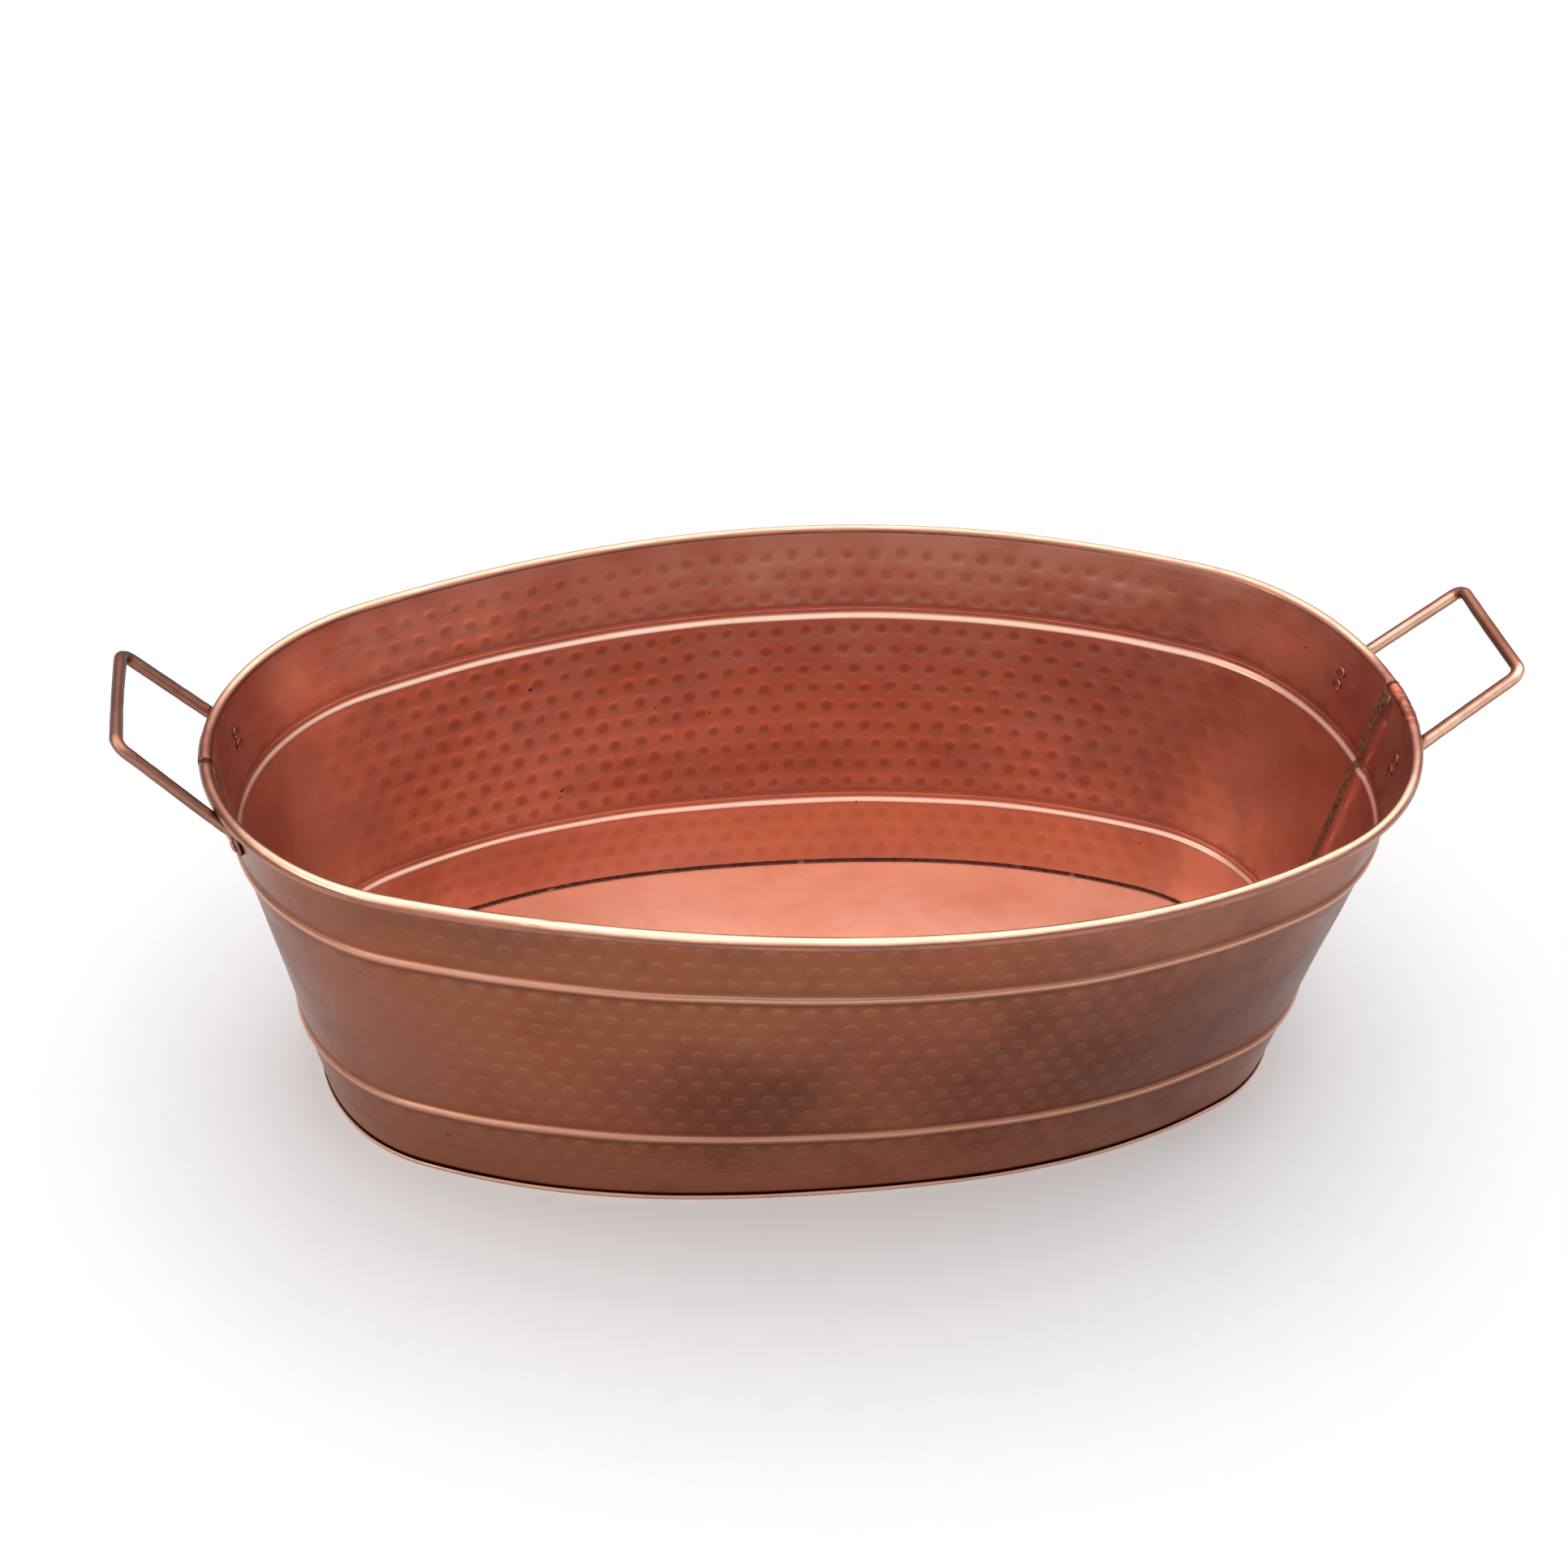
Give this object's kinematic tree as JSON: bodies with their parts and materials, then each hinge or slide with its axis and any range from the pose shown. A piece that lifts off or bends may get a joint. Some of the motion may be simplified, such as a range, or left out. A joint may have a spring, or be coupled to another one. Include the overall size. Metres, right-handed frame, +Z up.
{
  "type": "oval hammered copper tub",
  "caption": "Open oval tub of hammered copper sheet with ribbed flared walls, wired rolled rim, folded foot seam and riveted rod handles.",
  "frame": {"origin": "on the ground under the middle of the tub, at the bottom of the foot seam", "axes": "+X along the tub towards the right handle, +Y across it towards the back wall, +Z up out of the open top"},
  "size_m": [0.6908, 0.3412, 0.2492],
  "materials": {
    "hammered_copper": null,
    "floor_copper": "plain rolled copper sheet, satin, brighter than the walls",
    "handle_copper": "copper-plated steel rod and rivets, satin brown",
    "wire_steel": "bare drawn wire, hidden in the rim roll",
    "solder": "dull dark solder, rough",
    "sealant": "dark rubbery sealant, matte"
  },
  "bodies": {
    "root": {"front_wall": "hammered_copper", "back_wall": "hammered_copper", "bottom_pan": "floor_copper", "rim_wire": "wire_steel", "left_seam_solder": "solder", "right_seam_solder": "solder", "floor_sealant": "sealant", "left_handle": "handle_copper", "right_handle": "handle_copper", "rivet_left_front_lower": "handle_copper", "rivet_left_front_upper": "handle_copper", "rivet_left_back_lower": "handle_copper", "rivet_left_back_upper": "handle_copper", "rivet_right_front_lower": "handle_copper", "rivet_right_front_upper": "handle_copper", "rivet_right_back_lower": "handle_copper", "rivet_right_back_upper": "handle_copper"}
  },
  "joints": []
}
